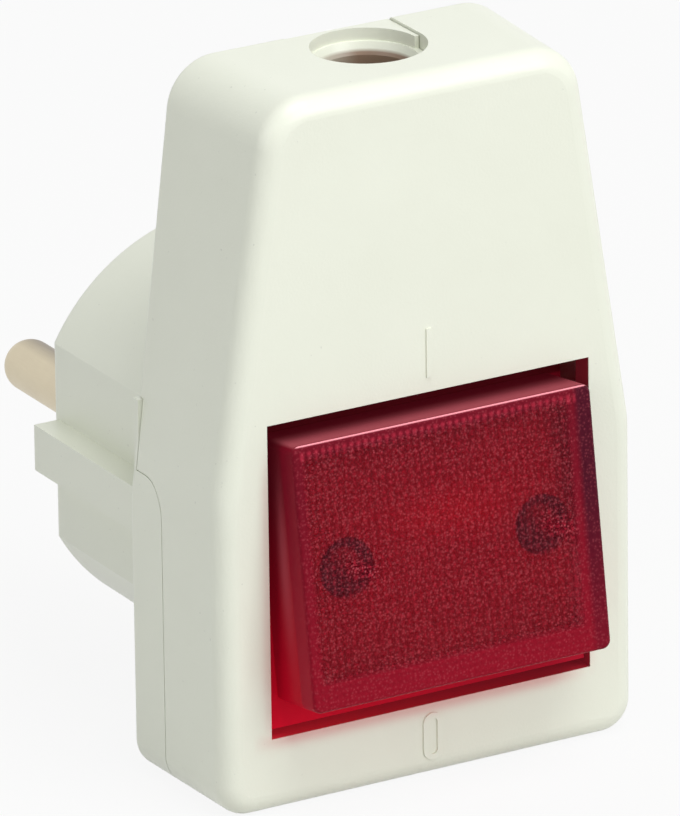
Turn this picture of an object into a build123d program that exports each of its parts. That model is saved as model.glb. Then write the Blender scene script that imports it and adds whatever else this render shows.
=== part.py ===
from build123d import *
import math
import os

os.makedirs("parts", exist_ok=True)

# Right-angle earthed mains plug with a lit two-pole rocker switch, in millimetres.
# X is across the plug and Z is up, towards the cord entry. Y runs from the rocker to the pins.
# The origin is the centre of the engagement face, halfway between the two pins.
# A depth below is measured from the flat front of the housing towards the pins.

# Overall sizes
HOUSING_DEPTH = 15.5
PLUG_BODY_LENGTH = 22.5
FRONT_HALF_WIDTH = 20.8
BACK_FLARE = 0.4
TOP_FRONT_TAPER = 5.55
TOP_BACK_TAPER = 4.65
BOTTOM_MARGIN = 7.0
TOP_Z = 41.9
CREASE_FRONT_Z = 6.8
CREASE_BACK_Z = 2.8
BOTTOM_CORNER_R = 3.0
TOP_CORNER_R = 4.7
CREASE_R = 10.5
FRONT_EDGE_R = 1.9
BACK_EDGE_R = 0.6
FRONT_WALL = 2.2
SIDE_WALL = 2.0
REAR_WALL = 2.0

# Where the front cover meets the rear housing
REAR_SHELL_DEPTH = 5.4
SEAM_TOP_Z = 5.3
SEAM_CORNER_R = 3.0
SEAM_GAP = 0.1
FLANGE_TOP_Z = 11.7
FLANGE_SETBACK = 0.6
FLANGE_THICKNESS = 0.8
LIP_REACH = 2.0
LIP_THICKNESS = 1.0

# Plug body, pins and earth contacts
PLUG_BODY_R = 19.0
PLUG_FLAT_X = 16.65
RIB_X = 19.15
RIB_HEIGHT = 4.3
RIB_END = 1.0
PLUG_EDGE_R = 1.4
FACE_WALL = 5.0
CAVITY_R = 14.6
PIN_SPACING = 19.0
PIN_R = 2.4
PIN_LENGTH = 19.0
PIN_TIP_FLAT_R = 0.2
PIN_NECK = 0.2
PIN_NECK_REACH = 0.3
PIN_RECESS = 0.3
PIN_RECESS_GAP = 0.1
PIN_FLANGE_R = 3.6
PIN_FLANGE = 1.4
PIN_STUB_R = 1.6
PIN_HEAD_R = 2.4
PIN_HEAD = 0.6
MOULD_FIT = 0.02
EARTH_WALL = 1.8
EARTH_CONTACT_Z = 16.4
EARTH_GROOVE_WIDTH = 8.4
EARTH_STRIP_WIDTH = 5.2
EARTH_STRIP_END = 2.5
EARTH_HOOK = 1.4
STRIP = 0.8
STRIP_FIT = 0.1

# Rocker and its opening
OPENING_WIDTH = 32.2
OPENING_HEIGHT = 29.0
OPENING_Z = -1.4
PIVOT_DEPTH = 4.4
SWING = 8.4
ROCKER_SIDE_GAP = 0.3
ROCKER_END_GAP = 0.32
BUTTON_SIDE_STEP = 1.15
BUTTON_END_STEP = 2.6
BUTTON_TOP = 8.4
SHOULDER = 1.8
SKIRT_BACK = 2.4
LENS_PLATE = 2.2
LENS_WALL = 1.6
SKIRT_WALL = 1.45
SHOULDER_PLATE = 1.6
BUTTON_EDGE_R = 0.35
BUTTON_CORNER_R = 0.8
AXLE_R = 1.65
AXLE_BITE = 1.6
RUNNING_FIT = 0.05
EAR_SETBACK = 0.2
EAR_HALF_HEIGHT = 3.4
EAR_GAP = 0.7
EAR_SLOT = 2.7

# Plungers and their springs, in the rocker's own frame
POLE_X = 9.8
POST_R = 2.7
POST_WALL = 0.95
POST_BACK = 2.6
POST_FLOOR = 1.0
PLUNGER_FIT = 0.07
PLUNGER_LENGTH = 5.0
SPIGOT_R = 0.8
SPIGOT = 1.2
SPRING_R = 1.3
SPRING_WIRE_R = 0.175
SPRING_PITCH = 1.1

# Rocking contacts
SEESAW_RATIO = 1.2
SEESAW_CLEARANCE = 0.12
SEESAW_FACE = 1.6
SEESAW_WIDTH = 4.4
SEESAW_HALF_LENGTH = 6.4
KNUCKLE_R = 0.7
SADDLE_WALL = 0.6
SUPPORT_WIDTH = 3.4
SUPPORT_HEIGHT = 1.48
SUPPORT_WEB = 1.2
CONTACT_OFFSET = 5.4
CONTACT_R = 1.1
CONTACT_HEIGHT = 0.5
CONTACT_GAP = 0.04

# Switch base and lamp
BASE_R = 15.6
BASE_SETBACK = 1.1
BASE_THICKNESS = 2.2
BASE_FIT = 0.1
BOSS_R = 2.6
SCREW_R = 1.4
SCREW_FIT = 0.05
SCREW_HEAD_R = 2.4
SCREW_HEAD = 1.8
SCREW_SPARE = 1.0
BASE_SCREW_BITE = 10.0
SLOT_WIDTH = 0.7
SLOT_DEPTH = 0.8
LAMP_R = 2.5
LAMP_STANDOFF = 6.2
LAMP_LEFT_X = -5.5
LAMP_RIGHT_X = 6.5
GLASS = 0.4
LEAD_R = 0.25
LEAD_SPACING = 1.6
LEAD_BEND_X = -6.2
LEAD_BEND_R = 0.8
LEAD_RISE = 4.2
LEAD_SINK = 1.0
CRADLE_X = 4.5
CRADLE_THICKNESS = 1.6
CRADLE_WALL = 0.9
RESISTOR_Z = 8.0
RESISTOR_STANDOFF = 2.5
RESISTOR_R = 1.2
RESISTOR_LENGTH = 6.4

# Cord terminals, cord entry and clamp
TERMINAL_GAP = 0.8
TERMINAL_WIDTH = 6.0
TERMINAL_HEIGHT = 7.0
TERMINAL_DEPTH = 5.8
WIRE_HOLE_R = 1.45
CORD_R = 3.7
CORD_PLAY = 0.5
CORD_STANDOFF = 3.3
COLLAR_LENGTH = 5.5
FUNNEL = 1.1
FUNNEL_WALL = 0.4
FUNNEL_LEDGE = 0.2
COLLAR_DROP = 1.4
NOTCH_MARGIN = 1.2
NOTCH_FIT = 0.1
TONGUE_DROP = 0.25
CLAMP_DROP = 8.9
CLAMP_HEIGHT = 4.4
CLAMP_HALF_WIDTH = 9.6
CLAMP_HEAD_ROOM = 1.0
CLAMP_BRIDGE = 1.5
CLAMP_STANDOFF = 2.2
CLAMP_SCREW_X = 7.0
CLAMP_POST_R = 2.4
COVER_SCREW_INSET = 3.45
COVER_SCREW_DROP = 14.0
COVER_SCREW_HEAD_R = 2.7
COVER_SCREW_HEAD = 1.0
COVER_SCREW_LENGTH = 9.3
COVER_BOSS_R = 2.6
TAB_X = 10.0
TAB_WIDTH = 4.0
TAB_THICKNESS = 1.2
TAB_ROOT_REACH = 2.1
TAB_SPARE = 1.7

# Raised switch marks on the front
MARK_HEIGHT = 0.15
MARK_LINE = 0.5
ON_MARK_RISE = 3.6
ON_MARK_LENGTH = 4.5
OFF_MARK_DROP = 3.05
OFF_MARK_LENGTH = 4.4
OFF_MARK_WIDTH = 1.9

# Sizes that follow from the ones above: the housing from front to back
FRONT_Y = -(HOUSING_DEPTH + PLUG_BODY_LENGTH)
TOTAL_DEPTH = HOUSING_DEPTH + PLUG_BODY_LENGTH
PLATE_DEPTH = HOUSING_DEPTH - REAR_WALL
SEAM_DEPTH = HOUSING_DEPTH - REAR_SHELL_DEPTH
STRIP_FRONT = PLATE_DEPTH - STRIP
CAVITY_END = TOTAL_DEPTH - FACE_WALL
EAR_BACK = SEAM_DEPTH - LIP_REACH - EAR_GAP
SEESAW_DEPTH = STRIP_FRONT - SUPPORT_HEIGHT
PLUNGER_BACK = SEESAW_DEPTH - SEESAW_FACE - SEESAW_CLEARANCE - PIVOT_DEPTH
LAMP_DEPTH = STRIP_FRONT - LAMP_STANDOFF
CRADLE_FRONT = LAMP_DEPTH - CRADLE_WALL
RESISTOR_DEPTH = STRIP_FRONT - RESISTOR_STANDOFF
CORD_DEPTH = PLATE_DEPTH - CORD_STANDOFF
CLAMP_BACK = CORD_DEPTH - CLAMP_STANDOFF
CLAMP_FRONT = FRONT_WALL + SCREW_HEAD + CLAMP_HEAD_ROOM
CLAMP_SCREW_LENGTH = PLATE_DEPTH - SCREW_SPARE - CLAMP_FRONT
TAB_ROOT_DEPTH = SEAM_DEPTH - LIP_REACH - TAB_ROOT_REACH
TAB_END_DEPTH = PLATE_DEPTH - TAB_SPARE

# And from side to side
BACK_HALF_WIDTH = FRONT_HALF_WIDTH + BACK_FLARE
TOP_FRONT_HALF_WIDTH = FRONT_HALF_WIDTH - TOP_FRONT_TAPER
TOP_BACK_HALF_WIDTH = BACK_HALF_WIDTH - TOP_BACK_TAPER
COVER_SCREW_X = TOP_FRONT_HALF_WIDTH - COVER_SCREW_INSET
FLANGE_HALF_WIDTH = BACK_HALF_WIDTH - FLANGE_SETBACK
BUTTON_WIDTH = OPENING_WIDTH - 2 * BUTTON_SIDE_STEP
EAR_X = OPENING_WIDTH / 2 + EAR_SETBACK
AXLE_END_X = EAR_X + AXLE_BITE
CORD_HOLE_R = CORD_R + CORD_PLAY
NOTCH_HALF_WIDTH = CORD_HOLE_R + NOTCH_MARGIN

# And from the bottom to the top
BUTTON_HEIGHT = OPENING_HEIGHT - 2 * BUTTON_END_STEP
BOTTOM_Z = OPENING_Z - OPENING_HEIGHT / 2 - BOTTOM_MARGIN
OFF_MARK_Z = OPENING_Z - OPENING_HEIGHT / 2 - OFF_MARK_DROP
ON_MARK_Z = OPENING_Z + OPENING_HEIGHT / 2 + ON_MARK_RISE
EARTH_FLOOR_Z = EARTH_CONTACT_Z - STRIP
CAVITY_HALF_HEIGHT = EARTH_FLOOR_Z - EARTH_WALL
BASE_HALF_HEIGHT = EARTH_FLOOR_Z - BASE_SETBACK
CRADLE_HALF_HEIGHT = LAMP_R + CRADLE_WALL
COVER_SCREW_Z = TOP_Z - COVER_SCREW_DROP
TERMINAL_Z = COVER_SCREW_Z - COVER_BOSS_R - TERMINAL_GAP - TERMINAL_HEIGHT
CLAMP_Z = TOP_Z - CLAMP_DROP
COLLAR_BOTTOM_Z = TOP_Z - COLLAR_LENGTH

SEESAW_TILT = SWING * SEESAW_RATIO


def y_at(depth):
    """Y of a plane that lies this deep behind the front face."""
    return FRONT_Y + depth


def slab(x0, x1, depth0, depth1, z0, z1):
    """Box between two X, two depths and two Z."""
    middle = Pos((x0 + x1) / 2, y_at((depth0 + depth1) / 2), (z0 + z1) / 2)
    return middle * Box(abs(x1 - x0), abs(depth1 - depth0), abs(z1 - z0))


def rod_along_y(radius, x, z, depth0, depth1):
    """Round rod that runs from the front towards the pins."""
    middle = Pos(x, y_at((depth0 + depth1) / 2), z)
    return middle * Rot(90, 0, 0) * Cylinder(radius, abs(depth1 - depth0))


def rod_along_x(radius, x0, x1, depth, z):
    """Round rod that runs across the plug."""
    return Pos((x0 + x1) / 2, y_at(depth), z) * Rot(0, 90, 0) * Cylinder(radius, abs(x1 - x0))


def rod_along_z(radius, x, depth, z0, z1):
    """Upright round rod."""
    return Pos(x, y_at(depth), (z0 + z1) / 2) * Cylinder(radius, abs(z1 - z0))


def blend(front, back, depth):
    """Value that changes evenly from the front of the housing to its back."""
    return front + (back - front) * depth / HOUSING_DEPTH


def half_width_at(depth, z):
    """Half the outer width of the housing, which is straight below the crease and narrows above it."""
    wide = blend(FRONT_HALF_WIDTH, BACK_HALF_WIDTH, depth)
    narrow = blend(TOP_FRONT_HALF_WIDTH, TOP_BACK_HALF_WIDTH, depth)
    crease = blend(CREASE_FRONT_Z, CREASE_BACK_Z, depth)
    return wide - (wide - narrow) * max(0.0, z - crease) / (TOP_Z - crease)


def outline_face(depth, inset):
    """Six-sided outline of the housing at one depth, drawn in by an inset."""
    levels = (BOTTOM_Z + inset, blend(CREASE_FRONT_Z, CREASE_BACK_Z, depth), TOP_Z - inset)
    corners = [(z, half_width_at(depth, z) - inset) for z in levels]
    right = [Vector(half, y_at(depth), z) for z, half in corners]
    left = [Vector(-half, y_at(depth), z) for z, half in reversed(corners)]
    return Face(Wire.make_polygon(right + left, close=True))


def is_along(edge):
    """True for an edge that runs from the front towards the back."""
    run = edge @ 1 - edge @ 0
    return abs(run.Y) > 3 * math.hypot(run.X, run.Z)


def housing_block(inset, depth0, depth1):
    """Solid with the housing's outline, from one depth to another, with its long edges rounded."""
    wires = [outline_face(depth, inset).outer_wire() for depth in (depth0, depth1)]
    block = Solid.make_loft(wires, ruled=True)
    crease = blend(CREASE_FRONT_Z, CREASE_BACK_Z, (depth0 + depth1) / 2)
    rounded = ((BOTTOM_CORNER_R, BOTTOM_Z + inset), (CREASE_R, crease), (TOP_CORNER_R, TOP_Z - inset))
    for radius, level in rounded:
        along = [e for e in block.edges() if is_along(e)]
        pair = sorted(along, key=lambda e: abs((e @ 0.5).Z - level))[:2]
        block = block.fillet(max(radius - inset, BACK_EDGE_R), pair)
    return block


def face_edges(solid, last):
    """Edges of the solid's flat front face, or of its back face."""
    return solid.faces().sort_by(Axis.Y)[-1 if last else 0].edges()


def both_sides(make):
    """A shape made for the left and for the right, as one."""
    return make(-1) + make(1)


def rear_share(gap):
    """Space in which the outer walls belong to the rear housing, grown by a gap."""
    far = 2 * FRONT_HALF_WIDTH
    low = slab(-far, far, SEAM_DEPTH - gap, HOUSING_DEPTH + 1, BOTTOM_Z - 1, SEAM_TOP_Z + gap)
    corner = [
        e
        for e in low.edges().filter_by(Axis.X)
        if (e @ 0.5).Z > SEAM_TOP_Z - 1 and (e @ 0.5).Y < y_at(SEAM_DEPTH + 1)
    ]
    low = fillet(corner, SEAM_CORNER_R + gap)
    flange_front = HOUSING_DEPTH - FLANGE_THICKNESS - gap
    return low + slab(-far, far, flange_front, HOUSING_DEPTH + 1, BOTTOM_Z - 1, FLANGE_TOP_Z + gap)


def rocker_ear(side):
    """Block inside the cover that one end of the rocker's axle turns in."""
    wall_x = half_width_at(PIVOT_DEPTH, OPENING_Z) - SIDE_WALL / 2
    low = OPENING_Z - EAR_HALF_HEIGHT
    high = OPENING_Z + EAR_HALF_HEIGHT
    return slab(side * EAR_X, side * wall_x, FRONT_WALL / 2, EAR_BACK, low, high)


def axle_way(side):
    """Bore for one end of the rocker's axle, with the slot that the axle snaps in through."""
    start = side * (EAR_X - 1)
    end = side * (AXLE_END_X + 2 * RUNNING_FIT)
    bore = rod_along_x(AXLE_R + RUNNING_FIT, start, end, PIVOT_DEPTH, OPENING_Z)
    slot = EAR_SLOT / 2
    return bore + slab(start, end, PIVOT_DEPTH, EAR_BACK + 1, OPENING_Z - slot, OPENING_Z + slot)


def cover_tab(side):
    """Tongue at the cover's lower edge that slides in behind the rear housing's lip."""
    x0 = side * TAB_X - TAB_WIDTH / 2
    x1 = side * TAB_X + TAB_WIDTH / 2
    low = BOTTOM_Z + SIDE_WALL + LIP_THICKNESS + 2 * SEAM_GAP
    arm = slab(x0, x1, TAB_ROOT_DEPTH, TAB_END_DEPTH, low, low + TAB_THICKNESS)
    root_end = TAB_ROOT_DEPTH + TAB_THICKNESS
    return arm + slab(x0, x1, TAB_ROOT_DEPTH, root_end, BOTTOM_Z + SIDE_WALL / 2, low + TAB_THICKNESS)


def cover_boss(side):
    """Post inside the cover that takes one housing screw."""
    x = side * COVER_SCREW_X
    boss = rod_along_y(COVER_BOSS_R, x, COVER_SCREW_Z, FRONT_WALL / 2, PLATE_DEPTH - SEAM_GAP)
    return boss - rod_along_y(SCREW_R + SCREW_FIT, x, COVER_SCREW_Z, FRONT_WALL + 1, PLATE_DEPTH)


def cord_notch():
    """Notch in the top wall that the cord passes through, open to the back."""
    half_width = NOTCH_HALF_WIDTH
    low = TOP_Z - SIDE_WALL - 1
    high = TOP_Z + 1
    front = rod_along_z(half_width, 0, CORD_DEPTH, low, high)
    return front + slab(-half_width, half_width, CORD_DEPTH, HOUSING_DEPTH + 1, low, high)


def on_mark():
    """Raised line for on."""
    half = ON_MARK_LENGTH / 2
    return slab(-MARK_LINE / 2, MARK_LINE / 2, -MARK_HEIGHT, 1, ON_MARK_Z - half, ON_MARK_Z + half)


def off_mark():
    """Raised ring for off."""
    ring = SlotOverall(OFF_MARK_LENGTH, OFF_MARK_WIDTH)
    ring -= SlotOverall(OFF_MARK_LENGTH - 2 * MARK_LINE, OFF_MARK_WIDTH - 2 * MARK_LINE)
    upright = Plane(origin=(0, y_at(1), OFF_MARK_Z), x_dir=(0, 0, 1), z_dir=(0, -1, 0))
    return extrude(upright * ring, 1 + MARK_HEIGHT)


def front_cover():
    """Front shell with the rocker's opening, its bearings, and the notch for the cord."""
    outer = housing_block(0, 0, HOUSING_DEPTH)
    outer = outer.fillet(FRONT_EDGE_R, face_edges(outer, False))
    outer = outer.fillet(BACK_EDGE_R, face_edges(outer, True))
    cover = outer - housing_block(SIDE_WALL, FRONT_WALL, HOUSING_DEPTH + 1)
    cover -= rear_share(SEAM_GAP)
    half_high = OPENING_HEIGHT / 2
    cover -= slab(
        -OPENING_WIDTH / 2, OPENING_WIDTH / 2, -1, FRONT_WALL + 1, OPENING_Z - half_high, OPENING_Z + half_high
    )
    cover -= cord_notch()
    cover += both_sides(rocker_ear) + both_sides(cover_tab) + both_sides(cover_boss)
    cover -= both_sides(axle_way)
    return cover + on_mark() + off_mark()


def rear_walls():
    """Back plate, the outer walls below the seam, and the lip that centres the cover."""
    plate = housing_block(SIDE_WALL + SEAM_GAP, PLATE_DEPTH, HOUSING_DEPTH)
    rim = housing_block(0, SEAM_DEPTH, HOUSING_DEPTH)
    rim = rim.fillet(BACK_EDGE_R, face_edges(rim, True)) & rear_share(0)
    inner = SIDE_WALL + SEAM_GAP + LIP_THICKNESS
    lip = housing_block(SIDE_WALL + SEAM_GAP, SEAM_DEPTH - LIP_REACH, PLATE_DEPTH)
    far = 2 * FRONT_HALF_WIDTH
    lip &= slab(-far, far, 0, HOUSING_DEPTH, BOTTOM_Z, SEAM_TOP_Z - SEAM_CORNER_R)
    half = FLANGE_HALF_WIDTH
    flange = slab(-half, half, HOUSING_DEPTH - FLANGE_THICKNESS, HOUSING_DEPTH, 0, FLANGE_TOP_Z)
    walls = rim + lip - housing_block(inner, SEAM_DEPTH - LIP_REACH - 1, PLATE_DEPTH)
    return walls + plate + flange


def plug_rib(side):
    """Guide rib on one flat side of the plug body."""
    rib = slab(0, side * RIB_X, HOUSING_DEPTH, TOTAL_DEPTH - RIB_END, -RIB_HEIGHT / 2, RIB_HEIGHT / 2)
    end = [e for e in face_edges(rib, True) if abs((e @ 0.5).X) > RIB_X / 4]
    return fillet(end, PLUG_EDGE_R / 2)


def plug_body():
    """Round body that enters the socket, with flat sides, guide ribs and earth grooves."""
    body = rod_along_y(PLUG_BODY_R, 0, 0, HOUSING_DEPTH, TOTAL_DEPTH)
    body &= slab(-PLUG_FLAT_X, PLUG_FLAT_X, HOUSING_DEPTH, TOTAL_DEPTH, -PLUG_BODY_R, PLUG_BODY_R)
    body = fillet(face_edges(body, True), PLUG_EDGE_R)
    body += both_sides(plug_rib)
    for side in (-1, 1):
        half = EARTH_GROOVE_WIDTH / 2
        body -= slab(-half, half, HOUSING_DEPTH, TOTAL_DEPTH + 1, side * EARTH_FLOOR_Z, side * PLUG_BODY_R)
    return body


def plug_cavity():
    """Space inside the plug body, with the seat of the switch base at its mouth."""
    cavity = rod_along_y(CAVITY_R, 0, 0, PLATE_DEPTH - 1, CAVITY_END)
    cavity &= slab(
        -CAVITY_R, CAVITY_R, PLATE_DEPTH - 1, CAVITY_END, -CAVITY_HALF_HEIGHT, CAVITY_HALF_HEIGHT
    )
    seat_r = BASE_R + BASE_FIT
    seat_end = PLATE_DEPTH + BASE_THICKNESS
    half = BASE_HALF_HEIGHT + BASE_FIT
    seat = rod_along_y(seat_r, 0, 0, PLATE_DEPTH - 1, seat_end)
    seat &= slab(-seat_r, seat_r, PLATE_DEPTH - 1, seat_end, -half, half)
    return cavity + seat


def earth_passage(side):
    """Slot through the back plate for the earth strap's leg, and the pocket for its hooked end."""
    half = EARTH_STRIP_WIDTH / 2 + STRIP_FIT
    end = TOTAL_DEPTH - EARTH_STRIP_END
    inner = side * (EARTH_FLOOR_Z - STRIP_FIT)
    outer = side * (EARTH_CONTACT_Z + STRIP_FIT)
    slot = slab(-half, half, PLATE_DEPTH - 1, HOUSING_DEPTH, inner, outer)
    hook = side * (EARTH_FLOOR_Z - EARTH_HOOK - STRIP_FIT)
    return slot + slab(-half, half, end - STRIP - STRIP_FIT, end + STRIP_FIT, hook, outer)


def cord_collar():
    """Collar and tongue in which the cord passes out of the top."""
    half = NOTCH_HALF_WIDTH - NOTCH_FIT
    mouth = half - FUNNEL_WALL
    ledge = TOP_Z - COLLAR_DROP
    collar = rod_along_z(half, 0, CORD_DEPTH, COLLAR_BOTTOM_Z, ledge)
    tongue = slab(-half, half, CORD_DEPTH, HOUSING_DEPTH, COLLAR_BOTTOM_Z, TOP_Z - TONGUE_DROP)
    funnel = Pos(0, y_at(CORD_DEPTH), ledge - FUNNEL / 2) * Cone(CORD_HOLE_R, mouth - FUNNEL_LEDGE, FUNNEL)
    way = funnel + rod_along_z(mouth, 0, CORD_DEPTH, ledge, TOP_Z)
    return collar + tongue, way + rod_along_z(CORD_HOLE_R, 0, CORD_DEPTH, COLLAR_BOTTOM_Z - 1, TOP_Z)


def clamp_post(side):
    """Post that carries one end of the cord clamp."""
    x = side * CLAMP_SCREW_X
    post = rod_along_y(CLAMP_POST_R, x, CLAMP_Z, CLAMP_BACK, PLATE_DEPTH + 1)
    return post - rod_along_y(SCREW_R + SCREW_FIT, x, CLAMP_Z, CLAMP_BACK - 1, PLATE_DEPTH)


def cover_screw_hole(side):
    """Hole through the back plate for one housing screw, with a seat for its head."""
    x = side * COVER_SCREW_X
    hole = rod_along_y(SCREW_R + 4 * SCREW_FIT, x, COVER_SCREW_Z, PLATE_DEPTH - 1, HOUSING_DEPTH)
    seat = HOUSING_DEPTH - COVER_SCREW_HEAD - SEAM_GAP
    return hole + rod_along_y(COVER_SCREW_HEAD_R + SEAM_GAP, x, COVER_SCREW_Z, seat, HOUSING_DEPTH + 1)


def pin_hole(side):
    """Hole in the engagement face that one pin's neck is moulded into, with a shallow recess."""
    x = side * PIN_SPACING / 2
    hole = rod_along_y(PIN_R - PIN_NECK + MOULD_FIT, x, 0, CAVITY_END - 1, TOTAL_DEPTH + 1)
    return hole + rod_along_y(PIN_R + PIN_RECESS_GAP, x, 0, TOTAL_DEPTH - PIN_RECESS, TOTAL_DEPTH + 1)


def rear_housing():
    """Back shell in one piece with the plug body."""
    collar, cord_way = cord_collar()
    housing = rear_walls() + plug_body() + collar
    housing -= plug_cavity()
    housing -= cord_way
    housing -= rod_along_z(CORD_R, 0, CORD_DEPTH, CLAMP_Z - CLAMP_HEIGHT, COLLAR_BOTTOM_Z + 1)
    housing -= both_sides(earth_passage)
    housing -= both_sides(cover_screw_hole)
    housing -= both_sides(pin_hole)
    housing += both_sides(clamp_post)
    boss = rod_along_y(BOSS_R, 0, 0, PLATE_DEPTH + BASE_THICKNESS, CAVITY_END + 1)
    boss_hole = PLATE_DEPTH + BASE_THICKNESS + BASE_SCREW_BITE + SCREW_SPARE
    boss -= rod_along_y(SCREW_R + SCREW_FIT, 0, 0, PLATE_DEPTH, boss_hole)
    return housing + boss


def local_box(x0, x1, y0, y1, z0, z1):
    """Box between its corners, in a piece's own frame."""
    return Pos((x0 + x1) / 2, (y0 + y1) / 2, (z0 + z1) / 2) * Box(x1 - x0, y1 - y0, z1 - z0)


def local_rod(radius, x, z, y0, y1):
    """Rod along Y in a piece's own frame."""
    return Pos(x, (y0 + y1) / 2, z) * Rot(90, 0, 0) * Cylinder(radius, y1 - y0)


def rocker_place():
    """Where the rocker's own frame stands when the switch is on."""
    return Pos(0, y_at(PIVOT_DEPTH), OPENING_Z) * Rot(-SWING, 0, 0)


def seesaw_place(side):
    """Where a rocking contact's own frame stands when the switch is on."""
    return Pos(side * POLE_X, y_at(SEESAW_DEPTH), OPENING_Z) * Rot(SEESAW_TILT, 0, 0)


def plunger_post(side):
    """Tube under the lens that guides one plunger and its spring."""
    x = side * POLE_X
    floor = LENS_PLATE - BUTTON_TOP
    post = local_rod(POST_R, x, 0, floor - LENS_PLATE / 2, POST_BACK)
    bore = local_rod(POST_R - POST_WALL, x, 0, floor + POST_FLOOR, POST_BACK + 1)
    return post, bore


def rocker():
    """Red rocker: a hollow raised button on a wider skirt, with its axle stubs."""
    skirt_x = OPENING_WIDTH / 2 - ROCKER_SIDE_GAP
    skirt_z = OPENING_HEIGHT / 2 - ROCKER_END_GAP
    half_x = BUTTON_WIDTH / 2
    half_z = BUTTON_HEIGHT / 2
    button = local_box(-half_x, half_x, -BUTTON_TOP, 0, -half_z, half_z)
    button = fillet(button.edges().filter_by(Axis.Y), BUTTON_CORNER_R)
    button = fillet(face_edges(button, False), BUTTON_EDGE_R)
    skirt = local_box(-skirt_x, skirt_x, -SHOULDER, SKIRT_BACK, -skirt_z, skirt_z)
    shape = button + skirt
    inner_x = half_x - LENS_WALL
    inner_z = half_z - LENS_WALL
    shape -= local_box(-inner_x, inner_x, LENS_PLATE - BUTTON_TOP, SKIRT_BACK + 1, -inner_z, inner_z)
    inner_x = skirt_x - SKIRT_WALL
    inner_z = skirt_z - SKIRT_WALL
    shape -= local_box(-inner_x, inner_x, SHOULDER_PLATE - SHOULDER, SKIRT_BACK + 1, -inner_z, inner_z)
    for side in (-1, 1):
        post, bore = plunger_post(side)
        shape += post
        shape -= bore
        axle_x = side * (AXLE_END_X + inner_x) / 2
        shape += Pos(axle_x, 0, 0) * Rot(0, 90, 0) * Cylinder(AXLE_R, AXLE_END_X - inner_x)
    return rocker_place() * shape


def plunger(side):
    """Round-nosed plunger that slides in a post of the rocker."""
    radius = POST_R - POST_WALL - PLUNGER_FIT
    x = side * POLE_X
    start = PLUNGER_BACK - PLUNGER_LENGTH
    nose = PLUNGER_BACK - radius
    shape = local_rod(radius, x, 0, start, nose) + Pos(x, nose, 0) * Sphere(radius)
    return rocker_place() * (shape + local_rod(SPIGOT_R, x, 0, start - SPIGOT, nose))


def helix_point(x, start, turn):
    """Point and direction on the spring's wire after a number of turns."""
    angle = 2 * math.pi * turn
    point = Vector(x + SPRING_R * math.cos(angle), start + SPRING_PITCH * turn, SPRING_R * math.sin(angle))
    around = 2 * math.pi * SPRING_R
    return point, Vector(-around * math.sin(angle), SPRING_PITCH, around * math.cos(angle)).normalized()


def biarc(first, second):
    """Two arcs that leave one point and reach the next in the given directions."""
    start, leave = first
    end, arrive = second
    chord = end - start
    both = leave + arrive
    spare = 2 * (1 - leave.dot(arrive))
    reach = (math.sqrt(chord.dot(both) ** 2 + 2 * spare * chord.dot(chord)) - chord.dot(both)) / spare
    near = start + leave * reach
    far = end - arrive * reach
    middle = (near + far) * 0.5
    return [TangentArc(start, middle, tangent=leave), TangentArc(middle, end, tangent=far - near)]


def plunger_spring(side):
    """Coil spring between the rocker's post and the plunger, as one unbroken wire."""
    x = side * POLE_X
    start = LENS_PLATE - BUTTON_TOP + POST_FLOOR + SPRING_WIRE_R
    end = PLUNGER_BACK - PLUNGER_LENGTH - SPRING_WIRE_R
    quarters = math.floor(4 * (end - start) / SPRING_PITCH)
    start = end - quarters * SPRING_PITCH / 4
    stations = [helix_point(x, start, n / 4) for n in range(quarters + 1)]
    arcs = [arc for pair in zip(stations, stations[1:]) for arc in biarc(*pair)]
    path = Wire(arcs)
    section = Plane(origin=stations[0][0], z_dir=stations[0][1]) * Circle(SPRING_WIRE_R)
    points = [path @ (n / 600) for n in range(601)]
    half_turn = 600 * 2 // quarters
    gap = min((points[n] - points[m]).length for n in range(601) for m in range(n + half_turn, 601))
    print("plunger spring turns", quarters / 4, "least gap", round(gap - 2 * SPRING_WIRE_R, 3))
    return rocker_place() * sweep(section, path=path)


def seesaw(side):
    """Rocking contact: a flat strip with a saddle that straddles its support."""
    half = SEESAW_WIDTH / 2
    back = STRIP - SEESAW_FACE
    shape = local_box(-half, half, -SEESAW_FACE, back, -SEESAW_HALF_LENGTH, SEESAW_HALF_LENGTH)
    shape = fillet(shape.edges().filter_by(Axis.Y), half / 4)
    bore_r = KNUCKLE_R + RUNNING_FIT
    saddle_half = bore_r + SADDLE_WALL
    shape += local_box(-half, half, back, 0, -saddle_half, saddle_half)
    shape -= Rot(0, 90, 0) * Cylinder(bore_r, SEESAW_WIDTH + 1)
    shape -= local_rod(CONTACT_R / 2 + MOULD_FIT, 0, -CONTACT_OFFSET, -SEESAW_FACE - 1, 0)
    return seesaw_place(side) * shape


def moving_contact(side):
    """Contact rivet in the lower end of a rocking contact."""
    back = STRIP - SEESAW_FACE
    head = local_rod(CONTACT_R, 0, -CONTACT_OFFSET, back, back + CONTACT_HEIGHT)
    shank = local_rod(CONTACT_R / 2, 0, -CONTACT_OFFSET, -SEESAW_FACE, back)
    return seesaw_place(side) * (head + shank)


def fixed_contact_tip(side):
    """Contact on the fixed strip, facing the rivet that meets it."""
    face = STRIP - SEESAW_FACE + CONTACT_HEIGHT + CONTACT_GAP
    tip = seesaw_place(side) * local_rod(CONTACT_R, 0, -CONTACT_OFFSET, face, face + HOUSING_DEPTH)
    x = side * POLE_X
    return tip & slab(x - CONTACT_R, x + CONTACT_R, SEESAW_DEPTH, STRIP_FRONT, BOTTOM_Z, 0)


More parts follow.
